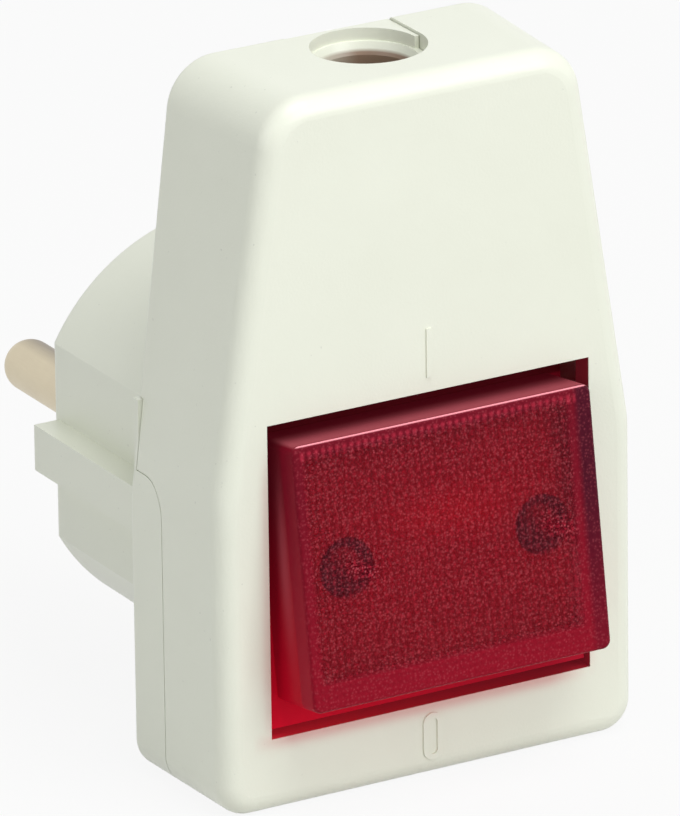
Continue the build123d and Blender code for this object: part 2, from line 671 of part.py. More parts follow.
def seesaw_support(side):
    """Strip with the knuckle that a rocking contact rides on, running up to its cord terminal."""
    x = side * POLE_X
    half = SUPPORT_WIDTH / 2
    web = SUPPORT_WEB / 2
    top = TERMINAL_Z + TERMINAL_HEIGHT
    strip = slab(x - half, x + half, STRIP_FRONT, PLATE_DEPTH, OPENING_Z - SUPPORT_WEB, top)
    strip += slab(x - half, x + half, SEESAW_DEPTH, STRIP_FRONT, OPENING_Z - web, OPENING_Z + web)
    return strip + rod_along_x(KNUCKLE_R, x - half, x + half, SEESAW_DEPTH, OPENING_Z)


def fixed_contact_leg_z():
    """Lower and upper Z of the strip that runs back to the pin."""
    low = OPENING_Z - CONTACT_OFFSET - 2 * CONTACT_R
    return low, low + STRIP


def fixed_contact(side):
    """Strip from the fixed contact, through the switch base, to the inner end of a pin."""
    x = side * POLE_X
    pin_x = side * PIN_SPACING / 2
    half = SUPPORT_WIDTH / 2
    low, leg_top = fixed_contact_leg_z()
    eye_back = CAVITY_END - PIN_FLANGE
    eye_front = eye_back - STRIP
    top = OPENING_Z - CONTACT_OFFSET + 2 * CONTACT_R
    strip = slab(x - half, x + half, STRIP_FRONT, PLATE_DEPTH, low, top)
    strip += slab(x - half, x + half, STRIP_FRONT, eye_back, low, leg_top)
    strip += slab(x - half, x + half, eye_front, eye_back, low, 0)
    strip += rod_along_y(PIN_STUB_R + 2 * STRIP, pin_x, 0, eye_front, eye_back)
    return strip - rod_along_y(PIN_STUB_R + MOULD_FIT, pin_x, 0, eye_front - 1, eye_back + 1)


def pin(side):
    """Round contact pin, with a neck in the face, a flange inside the body and a riveted inner end."""
    x = side * PIN_SPACING / 2
    neck_end = TOTAL_DEPTH + PIN_NECK_REACH
    shaft = rod_along_y(PIN_R, x, 0, neck_end, TOTAL_DEPTH + PIN_LENGTH)
    shaft = fillet(face_edges(shaft, True), PIN_R - PIN_TIP_FLAT_R)
    shaft += rod_along_y(PIN_R - PIN_NECK, x, 0, CAVITY_END - PIN_FLANGE, neck_end)
    flange_front = CAVITY_END - PIN_FLANGE
    head_back = flange_front - STRIP
    shaft += rod_along_y(PIN_FLANGE_R, x, 0, flange_front, CAVITY_END)
    shaft += rod_along_y(PIN_STUB_R, x, 0, head_back - PIN_HEAD, flange_front)
    return shaft + rod_along_y(PIN_HEAD_R, x, 0, head_back - PIN_HEAD, head_back)


def lamp_cradle(side):
    """Upright on the switch base that one end of the lamp clips into."""
    x0 = side * CRADLE_X - CRADLE_THICKNESS / 2
    x1 = side * CRADLE_X + CRADLE_THICKNESS / 2
    low = OPENING_Z - CRADLE_HALF_HEIGHT
    high = OPENING_Z + CRADLE_HALF_HEIGHT
    post = slab(x0, x1, CRADLE_FRONT, PLATE_DEPTH + 1, low, high)
    return post - rod_along_x(LAMP_R + RUNNING_FIT, x0 - 1, x1 + 1, LAMP_DEPTH, OPENING_Z)


def switch_base():
    """Insulating disc that carries the contacts, with the lamp's cradle."""
    back = PLATE_DEPTH + BASE_THICKNESS
    base = rod_along_y(BASE_R, 0, 0, PLATE_DEPTH, back)
    base &= slab(-BASE_R, BASE_R, PLATE_DEPTH, back, -BASE_HALF_HEIGHT, BASE_HALF_HEIGHT)
    base += both_sides(lamp_cradle)
    base -= rod_along_y(SCREW_R + SCREW_FIT, 0, 0, PLATE_DEPTH - 1, back + 1)
    low, high = fixed_contact_leg_z()
    half = SUPPORT_WIDTH / 2 + STRIP_FIT
    for side in (-1, 1):
        x = side * POLE_X
        base -= slab(x - half, x + half, PLATE_DEPTH - 1, back + 1, low - STRIP_FIT, high + STRIP_FIT)
    return base


def screw(x, z, head_depth, head_r, head, length):
    """Slotted screw driven from the front; its head's seat is at the given depth."""
    top = head_depth - head
    shape = rod_along_y(head_r, x, z, top, head_depth)
    shape = fillet(face_edges(shape, False), head / 5)
    shape += rod_along_y(SCREW_R, x, z, head_depth, head_depth + length)
    half = SLOT_WIDTH / 2
    return shape - slab(x - half, x + half, top - 1, top + SLOT_DEPTH, z - head_r, z + head_r)


def base_screw():
    """Screw that clamps the earth strap and the switch base to the plug body."""
    seat = STRIP_FRONT - STRIP
    length = PLATE_DEPTH + BASE_THICKNESS + BASE_SCREW_BITE - seat
    return screw(0, 0, seat, SCREW_HEAD_R, SCREW_HEAD, length)


def earth_strap():
    """Strip across the switch base whose legs lie in the grooves of the plug body as earth contacts."""
    half = EARTH_STRIP_WIDTH / 2
    strap = slab(-half, half, STRIP_FRONT, PLATE_DEPTH, -EARTH_CONTACT_Z, EARTH_CONTACT_Z)
    end = TOTAL_DEPTH - EARTH_STRIP_END
    for side in (-1, 1):
        outer = side * EARTH_CONTACT_Z
        strap += slab(-half, half, STRIP_FRONT, end, side * EARTH_FLOOR_Z, outer)
        strap += slab(-half, half, end - STRIP, end, side * (EARTH_FLOOR_Z - EARTH_HOOK), outer)
    return strap - rod_along_y(SCREW_R + SCREW_FIT, 0, 0, STRIP_FRONT - 1, PLATE_DEPTH + 1)


def earth_link():
    """Strip from the clamping screw up to the earth terminal."""
    half = EARTH_STRIP_WIDTH / 2
    top = TERMINAL_Z + TERMINAL_HEIGHT
    link = slab(-half, half, STRIP_FRONT - STRIP, STRIP_FRONT, -half, top)
    return link - rod_along_y(SCREW_R + SCREW_FIT, 0, 0, STRIP_FRONT - 2 * STRIP, STRIP_FRONT + 1)


def terminal_block(x, seat):
    """Brass block on a strip, with the wire's hole and a threaded hole for its screw."""
    half = TERMINAL_WIDTH / 2
    top = TERMINAL_Z + TERMINAL_HEIGHT
    block = slab(x - half, x + half, seat - TERMINAL_DEPTH, seat, TERMINAL_Z, top)
    block = fillet(block.edges().filter_by(Axis.Y), half / 6)
    wire = seat - TERMINAL_DEPTH / 2
    block -= rod_along_z(WIRE_HOLE_R, x, wire, TERMINAL_Z - 1, top + 1)
    middle = TERMINAL_Z + TERMINAL_HEIGHT / 2
    return block - rod_along_y(SCREW_R + SCREW_FIT, x, middle, seat - TERMINAL_DEPTH - 1, wire)


def terminal_screws():
    """The three screws that clamp the cord's wires."""
    middle = TERMINAL_Z + TERMINAL_HEIGHT / 2
    reach = TERMINAL_DEPTH / 2 - WIRE_HOLE_R / 2
    seats = ((-POLE_X, STRIP_FRONT), (0, STRIP_FRONT - STRIP), (POLE_X, STRIP_FRONT))
    return [
        screw(x, middle, seat - TERMINAL_DEPTH, SCREW_HEAD_R, SCREW_HEAD, reach) for x, seat in seats
    ]


def lamp_lead_z():
    """Z of the lamp's two wires, the one to the contact first."""
    return OPENING_Z + LEAD_SPACING / 2, OPENING_Z - LEAD_SPACING / 2


def neon_lamp():
    """Hollow glass bulb that lies behind the lens."""
    bulb = rod_along_x(LAMP_R, LAMP_LEFT_X, LAMP_RIGHT_X, LAMP_DEPTH, OPENING_Z)
    bulb = fillet(bulb.edges(), LAMP_R * 0.7)
    inner_r = LAMP_R - GLASS
    inside = rod_along_x(inner_r, LAMP_LEFT_X + GLASS, LAMP_RIGHT_X - GLASS, LAMP_DEPTH, OPENING_Z)
    bulb -= fillet(inside.edges(), inner_r * 0.7)
    for z in lamp_lead_z():
        bulb -= rod_along_x(LEAD_R + MOULD_FIT, LAMP_LEFT_X - 1, LAMP_LEFT_X + LAMP_R, LAMP_DEPTH, z)
    return bulb


def wire(points, bend_r):
    """Round wire along a route of (x, depth, z) points with rounded corners."""
    route = [Vector(x, y_at(depth), z) for x, depth, z in points]
    path = FilletPolyline(*route, radius=bend_r) if len(route) > 2 else Line(*route)
    section = Plane(origin=route[0], z_dir=(route[1] - route[0]).normalized()) * Circle(LEAD_R)
    return sweep(section, path=path)


def lamp_leads():
    """The lamp's electrodes and wires, one to the left strip and one to the resistor."""
    upper, lower = lamp_lead_z()
    start = LAMP_RIGHT_X / 3
    on_strip = STRIP_FRONT - LEAD_R - MOULD_FIT
    corner = OPENING_Z + LEAD_RISE
    to_strip = [
        (start, LAMP_DEPTH, upper),
        (LEAD_BEND_X, LAMP_DEPTH, upper),
        (LEAD_BEND_X, on_strip, upper),
        (LEAD_BEND_X, on_strip, corner),
        (-POLE_X, on_strip, corner),
    ]
    to_resistor = [
        (start, LAMP_DEPTH, lower),
        (LEAD_BEND_X, LAMP_DEPTH, lower),
        (LEAD_BEND_X, RESISTOR_DEPTH, lower),
        (LEAD_BEND_X, RESISTOR_DEPTH, RESISTOR_Z),
        (-RESISTOR_LENGTH / 2 - MOULD_FIT, RESISTOR_DEPTH, RESISTOR_Z),
    ]
    return [wire(to_strip, LEAD_BEND_R), wire(to_resistor, LEAD_BEND_R)]


def series_resistor():
    """Resistor between the lamp and the right strip, with its own wire."""
    half = RESISTOR_LENGTH / 2
    body = rod_along_x(RESISTOR_R, -half, half, RESISTOR_DEPTH, RESISTOR_Z)
    body = fillet(body.edges(), RESISTOR_R / 3)
    route = [
        (half - LEAD_SINK, RESISTOR_DEPTH, RESISTOR_Z),
        (POLE_X, RESISTOR_DEPTH, RESISTOR_Z),
        (POLE_X, STRIP_FRONT - MOULD_FIT, RESISTOR_Z),
    ]
    return body + wire(route, LEAD_BEND_R)


def cord_clamp():
    """Bar that presses the cord against the back plate."""
    low = CLAMP_Z - CLAMP_HEIGHT / 2
    high = CLAMP_Z + CLAMP_HEIGHT / 2
    bar = slab(-CLAMP_HALF_WIDTH, CLAMP_HALF_WIDTH, CLAMP_FRONT, CLAMP_BACK, low, high)
    bar = fillet(bar.edges().filter_by(Axis.Y), CLAMP_HEIGHT / 4)
    groove = CLAMP_FRONT + CLAMP_BRIDGE + CORD_R
    bar -= rod_along_z(CORD_R, 0, groove, low - 1, high + 1)
    for side in (-1, 1):
        bar -= rod_along_y(SCREW_R + SCREW_FIT, side * CLAMP_SCREW_X, CLAMP_Z, 0, PLATE_DEPTH)
    return bar


def clamp_screws():
    """The two screws of the cord clamp."""
    return [
        screw(side * CLAMP_SCREW_X, CLAMP_Z, CLAMP_FRONT, SCREW_HEAD_R, SCREW_HEAD, CLAMP_SCREW_LENGTH)
        for side in (-1, 1)
    ]


def cover_screws():
    """The two screws that hold the front cover, driven from the back."""
    seat = HOUSING_DEPTH - COVER_SCREW_HEAD - SEAM_GAP
    turned = []
    for side in (-1, 1):
        made = screw(0, 0, 0, COVER_SCREW_HEAD_R, COVER_SCREW_HEAD, COVER_SCREW_LENGTH)
        made = Pos(0, -y_at(0), 0) * made
        turned.append(Pos(side * COVER_SCREW_X, y_at(seat), COVER_SCREW_Z) * Rot(0, 0, 180) * made)
    return turned


def write(node, shape):
    """Write one node, whose solids may be one or a group."""
    solids = shape if isinstance(shape, list) else [shape]
    export_step(Compound(children=[s.solid() for s in solids]), f"parts/{node}.step")


write("front_cover", front_cover())
write("rear_housing", rear_housing())
write("rocker", rocker())
write("switch_base", switch_base())
write("base_screw", base_screw())
for name, side in (("left", -1), ("right", 1)):
    write(f"{name}_plunger", plunger(side))
    write(f"{name}_plunger_spring", plunger_spring(side))
    write(f"{name}_seesaw_contact", seesaw(side))
    write(f"{name}_moving_contact", moving_contact(side))
    write(f"{name}_fixed_contact_tip", fixed_contact_tip(side))
    write(f"{name}_fixed_contact_strip", fixed_contact(side))
    write(f"{name}_seesaw_support", seesaw_support(side))
    write(f"{name}_pin", pin(side))
    write(f"{name}_terminal_block", terminal_block(side * POLE_X, STRIP_FRONT))
write("earth_strap", earth_strap())
write("earth_link", earth_link())
write("earth_terminal_block", terminal_block(0, STRIP_FRONT - STRIP))
write("terminal_screws", terminal_screws())
write("neon_lamp", neon_lamp())
write("lamp_leads", lamp_leads())
write("series_resistor", series_resistor())
write("cord_clamp", cord_clamp())
write("clamp_screws", clamp_screws())
write("cover_screws", cover_screws())
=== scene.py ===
import math

import bpy
import numpy as np
from mathutils import Matrix, Vector


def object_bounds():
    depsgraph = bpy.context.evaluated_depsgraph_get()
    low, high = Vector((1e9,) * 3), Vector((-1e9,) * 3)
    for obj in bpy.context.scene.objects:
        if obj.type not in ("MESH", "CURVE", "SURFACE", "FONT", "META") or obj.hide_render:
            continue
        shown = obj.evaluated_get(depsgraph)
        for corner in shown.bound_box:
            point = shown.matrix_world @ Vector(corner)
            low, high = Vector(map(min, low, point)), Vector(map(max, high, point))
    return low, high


# Looks of a right-angle earthed plug with a lit rocker switch. Lengths in patterns are in millimetres.
MM = 0.001


def tint(red, green, blue):
    """Opaque colour."""
    return (red, green, blue, 1.0)


BLACK = tint(0.0, 0.0, 0.0)
WHITE = tint(1.0, 1.0, 1.0)

# Camera, as fitted to the photograph: turn, height above the horizon and roll in degrees
CAMERA_TURN = 29.807
CAMERA_HEIGHT = 20.701
CAMERA_ROLL = -0.756
CAMERA_DISTANCE = 1031.578
CAMERA_ACROSS = -7.836
CAMERA_UP = 10.838
CAMERA_AIM_Y = -38.0
CAMERA_LENS = 525.091
CAMERA_NEAR = 0.05
CAMERA_FAR = 20.0

# Stage, in metres and watts: floor, its share of plain white to the eye, sky and three square lamps
FLOOR_REACH = 3.0
FLOOR_GAP = 0.00002
FLOOR_PALE = tint(0.64, 0.64, 0.63)
FLOOR_WHITENESS = 0.9
SKY_PALE = tint(0.96, 0.98, 1.0)
SKY_LIGHT = 0.36
LAMP_SIZE = 0.7
LAMP_AIM = (0.0, -0.02, 0.01)
LAMPS = (
    ("front_lamp", (0.45, -1.0, 0.55), 5.95),
    ("top_lamp", (0.1, -0.4, 1.05), 6.6),
    ("left_lamp", (-1.0, -0.3, 0.4), 2.1),
)

# The rocker's pivot in the plug, and how far it leans when on
PIVOT_Y = -33.6
PIVOT_Z = -1.4
LEAN = math.radians(8.4)

# Sizes in the rocker's own frame: button and its hollow, skirt and its hollow, margin, plunger posts
LENS_FRONT_Y = -8.4
LENS_EDGE_X = 14.95
LENS_EDGE_Z = 11.9
LENS_INSIDE_X = 13.35
LENS_INSIDE_Z = 10.3
LENS_INSIDE_Y = -6.2
SHOULDER_Y = -1.8
SKIRT_INSIDE_X = 14.35
SKIRT_INSIDE_Z = 12.73
SKIRT_INSIDE_Y = -0.2
INSIDE_SPARE = 0.1
MARGIN_X = 13.3
POST_X = 9.8
BORE_HALF = 2.2

# Patterns of the lens: steps of its dots and of its painted glints, and the row of ticks below its
# upper edge
DOT_STEP = 0.7
GLINT_STEP = 0.27
TICK_Z = 10.9
TICK_HALF = 0.35

# Clear shell of the lens, the skin over it, and the share of the skin in what is seen
LENS_SHINE = tint(1.0, 0.35, 0.5)
LENS_CLEAR = tint(1.0, 0.72, 0.82)
LENS_LET_THROUGH = tint(0.95, 0.75, 0.75)
LENS_DEPTH = tint(0.88, 0.05, 0.25)
LENS_DENSITY = 900.0
LENS_IOR = 1.4
LENS_ROUGHNESS = 0.26
SKIN_ROUGHNESS = 0.45
SKIN_SHINE = 0.06
SKIN_SHARE = 0.92
SEE_IN_SHARE = 0.42
GAP_SHARE = 0.45

# Opening in the cover, how far back its red walls and the lamp's light reach, cord hole and pins
COVER_FRONT_Y = -38.0
OPENING_X = 16.1
OPENING_Z = -1.4
OPENING_HALF_Z = 16.0
OPENING_LOW = -15.9
OPENING_SPARE_X = 1.5
OPENING_END_Y = -31.0
LIT_END_Y = -24.0
CORD_Y = -27.8
CORD_HOLE_R = 4.2
FUNNEL_END_Z = 39.4
PIN_R = 2.4
PIN_X = 9.5

# Colours of the white moulding: plain and dull, painted shade in the cord hole, painted red light and
# shade beside and inside the opening, and a painted red glow behind the lens
WARM_WHITE = tint(0.835, 0.855, 0.74)
DULL_WHITE = tint(0.80, 0.82, 0.70)
CORD_SHADE_BROWN = tint(0.27, 0.18, 0.125)
BESIDE_PINK = tint(0.72, 0.25, 0.25)
OPENING_SHADE_RED = tint(0.12, 0.006, 0.010)
OPENING_LIT_RED = tint(0.70, 0.02, 0.04)
SPILL_RED = tint(0.06, 0.004, 0.007)

# Colours of the hollow behind the plate, in painted light and shade: dim and glowing frost, walls
# shaded high up and lit low down, and bores in shadow
FROST_DIM = tint(0.39, 0.02, 0.07)
FROST_LIT = tint(0.95, 0.10, 0.20)
HOLLOW_WALL_SHADE = tint(0.12, 0.0, 0.01)
HOLLOW_WALL_LIT = tint(0.85, 0.01, 0.03)
BORE_SHADOW_RED = tint(0.04, 0.004, 0.01)

# Colours of the lens's skin, with painted light, shade, sheen and glints: plate, margins, sides,
# skirt, top wall, shoulder and a highlight on the top front edge
PLATE_DARK = tint(0.07, 0.0, 0.003)
PLATE_BRIGHT = tint(0.56, 0.022, 0.05)
GLINT_PINK = tint(0.66, 0.13, 0.16)
MARGIN_SHADE = tint(0.17, 0.006, 0.016)
MARGIN_LIT = tint(0.27, 0.006, 0.018)
MARGIN_RIGHT_SHADE = tint(0.07, 0.006, 0.016)
TICK_RED = tint(0.50, 0.03, 0.06)
SIDE_SHADE = tint(0.11, 0.003, 0.008)
SIDE_LIT = tint(0.42, 0.001, 0.010)
SHEEN_PINK = tint(0.40, 0.09, 0.11)
SKIRT_DIM = tint(0.34, 0.008, 0.022)
SKIRT_LIT = tint(0.72, 0.003, 0.02)
TOP_WALL_SHADE = tint(0.12, 0.012, 0.018)
TOP_WALL_LIT_SHEEN = tint(0.25, 0.05, 0.062)
SHOULDER_SHADE = tint(0.10, 0.004, 0.008)
RIM_HIGHLIGHT_PINK = tint(0.95, 0.34, 0.40)

# Painted glow, given by emission, for light that comes through the lens's sides: high up, low down,
# top wall and shoulder
THROUGH_HIGH = tint(0.03, 0.001, 0.003)
THROUGH_LOW = tint(0.08, 0.001, 0.005)
THROUGH_WALL_BACK = tint(0.035, 0.001, 0.003)
THROUGH_WALL_FRONT = tint(0.13, 0.027, 0.034)
THROUGH_SHOULDER = tint(0.015, 0.0005, 0.001)

# Moulded plastic: relief, spread of its gloss, and how many, how dark and how strong its specks are
GRAIN_DEPTH = 0.012
GLOSS_SPREAD = 0.14
SPECK_LEVEL = 0.79
SPECK_DARKNESS = 0.55
SPECK_SHARE = 0.35
PLASTIC_IOR = 1.53

# Lamp glass and the colour bands of the resistor
GLASS_IOR = 1.5
BAND_HALF = 0.28


def fill(tree, node, inputs):
    """Gives each input of a node its value, or joins it to a socket."""
    for name, value in inputs.items():
        if isinstance(value, bpy.types.NodeSocket):
            tree.links.new(value, node.inputs[name])
        else:
            node.inputs[name].default_value = value


def put(tree, kind, inputs=None, **settings):
    """Adds a node with its settings and inputs."""
    made = tree.nodes.new(kind)
    for name, value in settings.items():
        setattr(made, name, value)
    fill(tree, made, inputs or {})
    return made


def find(tree, kind):
    """First node of a kind."""
    return next(node for node in tree.nodes if node.type == kind)


def calc(tree, operation, first, second=0.0, third=0.0, clamp=False):
    """Result of one sum on numbers or sockets."""
    values = {0: first, 1: second, 2: third}
    return put(tree, "ShaderNodeMath", values, operation=operation, use_clamp=clamp).outputs[0]


def times(tree, value, factor):
    """Value times a factor."""
    return calc(tree, "MULTIPLY", value, factor)


def times_plus(tree, value, factor, more, clamp=False):
    """Value times a factor, plus more."""
    return calc(tree, "MULTIPLY_ADD", value, factor, more, clamp)


def all_of(tree, *masks):
    """Product of masks."""
    made = masks[0]
    for mask in masks[1:]:
        made = times(tree, made, mask)
    return made


def largest(tree, *masks):
    """Largest of some masks."""
    made = masks[0]
    for mask in masks[1:]:
        made = calc(tree, "MAXIMUM", made, mask)
    return made


def opposite(tree, mask):
    """1 less a mask."""
    return calc(tree, "SUBTRACT", 1.0, mask)


def ramp(tree, value, start, end, first=0.0, last=1.0):
    """Goes evenly from the first number to the last while the value goes from start to end."""
    limits = {0: value, 1: start, 2: end, 3: first, 4: last}
    return put(tree, "ShaderNodeMapRange", limits).outputs[0]


def above(tree, value, level, soft=0.02):
    """0 below a level and 1 above it, with a soft step."""
    return ramp(tree, value, level - soft, level + soft)


def below(tree, value, level, soft=0.02):
    """1 below a level and 0 above it, with a soft step."""
    return opposite(tree, above(tree, value, level, soft))


def within(tree, value, middle, half, soft=0.02):
    """1 where a value lies within a half width of the middle, 0 outside, with soft ends."""
    away = calc(tree, "ABSOLUTE", calc(tree, "SUBTRACT", value, middle))
    return ramp(tree, away, half - soft, half + soft, 1.0, 0.0)


def hump(tree, value, middle, width):
    """Bell curve of a value about a middle."""
    part = calc(tree, "DIVIDE", calc(tree, "SUBTRACT", value, middle), width)
    return calc(tree, "EXPONENT", all_of(tree, part, part, -1.0))


def shade(tree, factor, low, high):
    """Colour between two, by a factor."""
    return put(tree, "ShaderNodeMix", {0: factor, 6: low, 7: high}, data_type="RGBA").outputs[2]


def shade_value(tree, factor, low, high):
    """Number between two, by a factor."""
    return times_plus(tree, factor, high - low, low)


def apart(tree, vector):
    """The x, y and z of a vector."""
    return put(tree, "ShaderNodeSeparateXYZ", {0: vector}).outputs


def noise(tree, place, size, detail):
    """Noise whose grains have a size in the units of the place."""
    inputs = {"Vector": place, "Scale": calc(tree, "DIVIDE", 1.0, size), "Detail": detail}
    return put(tree, "ShaderNodeTexNoise", inputs).outputs[0]


def new_group(name, inputs, outputs):
    """Empty node group with named sockets; inputs come as name, kind and value."""
    group = bpy.data.node_groups.new(name, "ShaderNodeTree")
    for label, kind, value in inputs:
        kind = "NodeSocket" + kind
        socket = group.interface.new_socket(label, in_out="INPUT", socket_type=kind)
        if value is not None:
            socket.default_value = value
    for label, kind in outputs:
        group.interface.new_socket(label, in_out="OUTPUT", socket_type="NodeSocket" + kind)
    return group, group.nodes.new("NodeGroupInput").outputs, group.nodes.new("NodeGroupOutput")


def moulded_grain_group():
    """Fine spark-eroded grain, slow mottling and a few specks, for any moulded plastic."""
    group, (place, grain_size, mottle_size, _), out = new_group(
        "moulded_grain",
        [("Place", "Vector", None), ("Grain size", "Float", 0.25), ("Mottle size", "Float", 9.0)],
        [("Height", "Float"), ("Tone", "Float"), ("Specks", "Float")],
    )
    specks = noise(group, place, times(group, grain_size, 2.0), 1.0)
    results = {
        "Height": noise(group, place, grain_size, 3.0),
        "Tone": noise(group, place, mottle_size, 2.0),
        "Specks": above(group, specks, SPECK_LEVEL, 0.03),
    }
    fill(group, out, results)
    return group


def drawn_metal_group():
    """Long fine scratches along one direction and patches of dullness, for drawn or rolled metal."""
    group, (place, stretch, patch_size, _), out = new_group(
        "drawn_metal",
        [
            ("Place", "Vector", None),
            ("Stretch", "Vector", (6.0, 0.5, 6.0)),
            ("Patch size", "Float", 2.5),
        ],
        [("Scratches", "Float"), ("Patches", "Float")],
    )
    pulled = put(group, "ShaderNodeVectorMath", {0: place, 1: stretch}, operation="MULTIPLY")
    lines = {"Vector": pulled.outputs[0], "Scale": 1.0, "Detail": 4.0}
    results = {
        "Scratches": put(group, "ShaderNodeTexNoise", lines).outputs[0],
        "Patches": noise(group, place, patch_size, 3.0),
    }
    fill(group, out, results)
    return group


MOULDED_GRAIN = moulded_grain_group()
DRAWN_METAL = drawn_metal_group()


def use_group(tree, group, inputs):
    """Places a shared node group."""
    return put(tree, "ShaderNodeGroup", inputs, node_tree=group).outputs


def new_material(name):
    """Empty material, with its tree, a place in millimetres and its Principled shader."""
    material = bpy.data.materials.new(name)
    material.use_nodes = True
    tree = material.node_tree
    tree.nodes.clear()
    coordinates = put(tree, "ShaderNodeTexCoord").outputs["Object"]
    scaled = {"Vector": coordinates, "Scale": (1 / MM, 1 / MM, 1 / MM)}
    place = put(tree, "ShaderNodeMapping", scaled).outputs[0]
    shader = put(tree, "ShaderNodeBsdfPrincipled")
    put(tree, "ShaderNodeOutputMaterial", {"Surface": shader.outputs[0]})
    return material, tree, place, shader


def relief(tree, shader, height, distance, strength=1.0):
    """Bump of a height in millimetres on the shader's normal."""
    inputs = {"Height": height, "Distance": distance * MM, "Strength": strength}
    fill(tree, shader, {"Normal": put(tree, "ShaderNodeBump", inputs).outputs[0]})


def recolour(tree, shader, factor, colour):
    """Puts a colour over the shader's own where a mask is 1."""
    own = shader.inputs["Base Color"].links[0].from_socket
    fill(tree, shader, {"Base Color": shade(tree, factor, own, colour)})


def moulded_plastic(name, light, dark, gloss, grain_size=0.25):
    """Plastic with grain, mottling and specks."""
    material, tree, place, shader = new_material(name)
    grain = use_group(tree, MOULDED_GRAIN, {"Place": place, "Grain size": grain_size})
    speck_tone = tint(*(SPECK_DARKNESS * part for part in light[:3]))
    fill(
        tree,
        shader,
        {
            "Base Color": shade(tree, grain["Tone"], dark, light),
            "Roughness": times_plus(tree, grain["Tone"], GLOSS_SPREAD, gloss - GLOSS_SPREAD / 2),
            "IOR": PLASTIC_IOR,
        },
    )
    recolour(tree, shader, times(tree, grain["Specks"], SPECK_SHARE), speck_tone)
    relief(tree, shader, grain["Height"], GRAIN_DEPTH)
    return material, tree, place, shader


def cord_hole_shade(tree, x, y, z):
    """1 in the funnel of the cord hole, fading to its left: where brown shade is painted."""
    half = CORD_HOLE_R + 0.3
    return all_of(
        tree,
        within(tree, x, 0.0, half, 0.05),
        within(tree, y, CORD_Y, half, 0.05),
        above(tree, z, FUNNEL_END_Z - 4.5, 0.2),
        below(tree, z, FUNNEL_END_Z + 0.4, 0.15),
        ramp(tree, x, -4.6, 1.5, 0.1, 1.0),
    )


def red_beside_opening(tree, x, y, z):
    """Red light that the lens throws on the front, close to three edges of the opening."""
    left = all_of(
        tree, hump(tree, x, -OPENING_X - 0.1, 0.6), within(tree, z, -3.4, 12.5, 2.0), 0.38
    )
    low = all_of(tree, hump(tree, z, OPENING_LOW - 0.1, 0.8), within(tree, x, -1.0, 15.0, 2.0))
    right = all_of(
        tree, hump(tree, x, OPENING_X + 0.1, 0.5), within(tree, z, -11.0, 4.0, 2.0), 0.4
    )
    front = below(tree, y, COVER_FRONT_Y + 0.6, 0.4)
    return all_of(tree, front, largest(tree, left, low, right), 0.6)


def in_opening(tree, x, y, z, end, soft):
    """1 on the walls of the opening, from just behind the cover's front back to an end."""
    return all_of(
        tree,
        within(tree, x, 0.0, OPENING_X + OPENING_SPARE_X, 0.03),
        within(tree, z, OPENING_Z, OPENING_HALF_Z, 0.03),
        above(tree, y, COVER_FRONT_Y + 0.08, 0.04),
        below(tree, y, end, soft),
    )


def white_moulding(name):
    """Warm white moulding of both housings, with painted brown shade in the cord hole and painted red
    light, shade and glow from the lens.
    """
    material, tree, place, shader = moulded_plastic(name, WARM_WHITE, DULL_WHITE, 0.36)
    x, y, z = apart(tree, place)
    # Painted brown shade down in the cord hole
    recolour(tree, shader, cord_hole_shade(tree, x, y, z), CORD_SHADE_BROWN)
    # Painted red light from the lens on the front beside the opening
    recolour(tree, shader, red_beside_opening(tree, x, y, z), BESIDE_PINK)

    # Painted red light from the lens on the opening's walls, stronger low down and to the left, with
    # painted shade high up
    low = ramp(tree, z, 8.0, OPENING_LOW)
    low_left = times(tree, low, times_plus(tree, x, -0.022, 0.58))
    red = shade(tree, low_left, OPENING_SHADE_RED, OPENING_LIT_RED)
    recolour(tree, shader, in_opening(tree, x, y, z, OPENING_END_Y, 0.5), red)

    # Painted red glow, given by emission, standing in for the lamp's red light on all that lies behind
    # the lens
    lit = in_opening(tree, x, y, z, LIT_END_Y, 1.0)
    spill = shade(tree, lit, BLACK, SPILL_RED)
    fill(tree, shader, {"Emission Color": spill, "Emission Strength": 1.0})
    return material


def own_frame(tree, place):
    """Place in the rocker's own frame, upright and centred on its pivot, as x, y and z."""
    turn = Matrix.Rotation(LEAN, 3, "X")
    shift = -(turn @ Vector((0.0, PIVOT_Y, PIVOT_Z)))
    inputs = {"Vector": place, "Rotation": (LEAN, 0.0, 0.0), "Location": tuple(shift)}
    return apart(tree, put(tree, "ShaderNodeMapping", inputs).outputs[0])


def inside_of_rocker(tree, x, y, z):
    """1 on the walls of the rocker's hollow, 0 on its outside."""
    button = all_of(
        tree,
        within(tree, x, 0.0, LENS_INSIDE_X + INSIDE_SPARE),
        within(tree, z, 0.0, LENS_INSIDE_Z + INSIDE_SPARE),
        above(tree, y, LENS_INSIDE_Y - INSIDE_SPARE),
    )
    skirt = all_of(
        tree,
        within(tree, x, 0.0, SKIRT_INSIDE_X + INSIDE_SPARE),
        within(tree, z, 0.0, SKIRT_INSIDE_Z + INSIDE_SPARE),
        above(tree, y, SKIRT_INSIDE_Y - INSIDE_SPARE),
    )
    return largest(tree, button, skirt)


def from_bore(tree, x, z, aside, up):
    """Place across and up from the nearer bore's middle, moved by what the plate bends."""
    middle = times(tree, calc(tree, "SIGN", x), POST_X)
    across = calc(tree, "SUBTRACT", calc(tree, "SUBTRACT", x, middle), aside)
    return across, calc(tree, "SUBTRACT", z, up)


def sum_of(tree, first, first_share, second, second_share):
    """Sum of two numbers, each times its share."""
    return calc(tree, "ADD", times(tree, first, first_share), times(tree, second, second_share))


